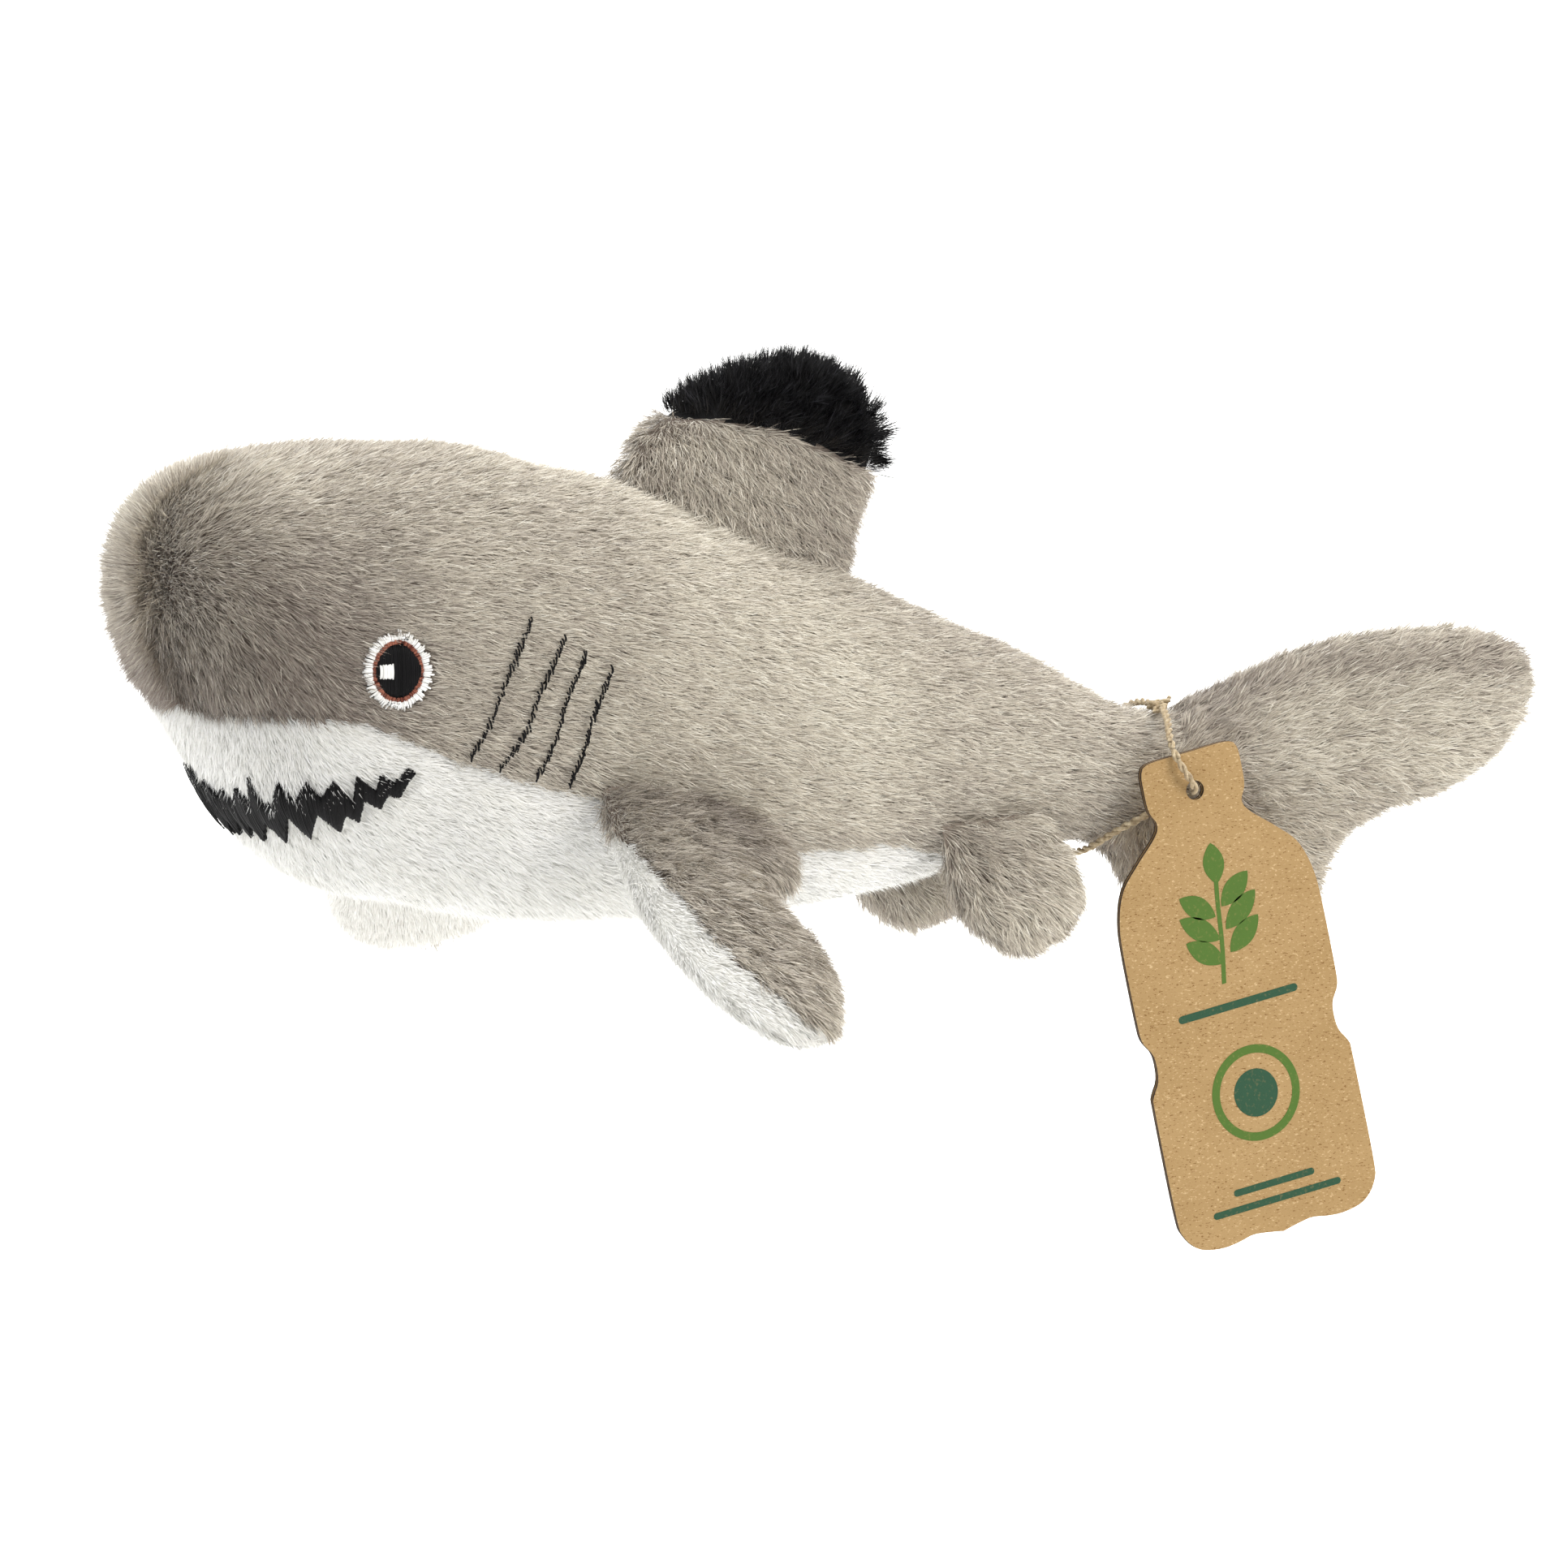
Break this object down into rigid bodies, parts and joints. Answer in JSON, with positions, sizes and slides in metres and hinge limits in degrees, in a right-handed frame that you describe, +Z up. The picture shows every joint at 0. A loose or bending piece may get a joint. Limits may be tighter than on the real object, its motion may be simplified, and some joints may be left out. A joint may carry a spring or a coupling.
{
  "type": "plush shark",
  "caption": "Soft stuffed toy shark with grey back, white belly, black-tipped dorsal fin, embroidered eyes, gills and toothy mouth, bendable fins and tail, and a card tag on twine.",
  "frame": {"origin": "middle of the flat patch under the belly that the toy is carried on", "axes": "+X from nose to tail, +Z up through the back, the shark's own left is -Y"},
  "size_m": [0.2871, 0.1912, 0.1696],
  "materials": {
    "black_plush": "short dense pile, matte",
    "black_thread": "satin-stitched thread, slight gloss",
    "fibre": "loose white polyester fibre",
    "grey_plush": "short silky pile, matte with a soft sheen",
    "jute": "twisted natural twine",
    "kraft_card": "plain recycled brown card, matte",
    "white_plush": "short dense pile, matte"
  },
  "bodies": {
    "trunk": {"belly_panel": "white_plush", "body_panel_left": "grey_plush", "body_panel_right": "grey_plush", "body_stuffing": "fibre", "embroidered_eye_left": "black_thread", "embroidered_eye_right": "black_thread", "gill_stitch_left_1": "black_thread", "gill_stitch_left_2": "black_thread", "gill_stitch_left_3": "black_thread", "gill_stitch_left_4": "black_thread", "gill_stitch_right_1": "black_thread", "gill_stitch_right_2": "black_thread", "gill_stitch_right_3": "black_thread", "gill_stitch_right_4": "black_thread", "mouth_embroidery": "black_thread"},
    "dorsal_fin": {"dorsal_panel_left": "grey_plush", "dorsal_panel_right": "grey_plush", "dorsal_stuffing": "fibre", "dorsal_tip_left": "black_plush", "dorsal_tip_right": "black_plush"},
    "pectoral_fin_left": {"pectoral_left_stuffing": "fibre", "pectoral_left_top": "grey_plush", "pectoral_left_underside": "white_plush"},
    "pectoral_fin_right": {"pectoral_right_stuffing": "fibre", "pectoral_right_top": "grey_plush", "pectoral_right_underside": "white_plush"},
    "pelvic_fin_left": {"pelvic_left_stuffing": "fibre", "pelvic_left_top": "grey_plush", "pelvic_left_underside": "grey_plush"},
    "pelvic_fin_right": {"pelvic_right_stuffing": "fibre", "pelvic_right_top": "grey_plush", "pelvic_right_underside": "grey_plush"},
    "tail": {"tag_twine": "jute", "tail_panel_left": "grey_plush", "tail_panel_right": "grey_plush", "tail_stuffing": "fibre", "twine_knot": "jute"},
    "swing_tag": {"swing_tag": "kraft_card"}
  },
  "joints": [
    {"name": "dorsal_flop", "type": "hinge", "parent": "trunk", "child": "dorsal_fin", "pos_m": [-0.012, 0, 0.0842], "axis": [0.9225, 0, -0.3861], "range_deg": [-25, 25], "stiffness_Nm_per_rad": 0.05},
    {"name": "pectoral_left_lift", "type": "hinge", "parent": "trunk", "child": "pectoral_fin_left", "pos_m": [-0.027, -0.0375, 0.0235], "axis": [-0.9535, -0.0953, 0.286], "range_deg": [-25, 45], "stiffness_Nm_per_rad": 0.08},
    {"name": "pectoral_right_lift", "type": "hinge", "parent": "trunk", "child": "pectoral_fin_right", "pos_m": [-0.027, 0.0375, 0.0235], "axis": [0.9535, -0.0953, -0.286], "range_deg": [-25, 45], "stiffness_Nm_per_rad": 0.08},
    {"name": "pelvic_left_lift", "type": "hinge", "parent": "trunk", "child": "pelvic_fin_left", "pos_m": [0.048, -0.021, 0.0104], "axis": [-0.983, -0.1773, -0.0483], "range_deg": [-20, 35], "stiffness_Nm_per_rad": 0.03},
    {"name": "pelvic_right_lift", "type": "hinge", "parent": "trunk", "child": "pelvic_fin_right", "pos_m": [0.048, 0.021, 0.0104], "axis": [0.983, -0.1773, 0.0483], "range_deg": [-20, 35], "stiffness_Nm_per_rad": 0.03},
    {"name": "tail_sway", "type": "hinge", "parent": "trunk", "child": "tail", "pos_m": [0.086, 0, 0.022], "axis": [0, 0, 1], "range_deg": [-20, 20], "stiffness_Nm_per_rad": 0.1},
    {"name": "tag_swing", "type": "hinge", "parent": "tail", "child": "swing_tag", "pos_m": [0.1015, -0.0196, 0.0196], "axis": [0, -1, 0], "range_deg": [-10, 40]}
  ]
}
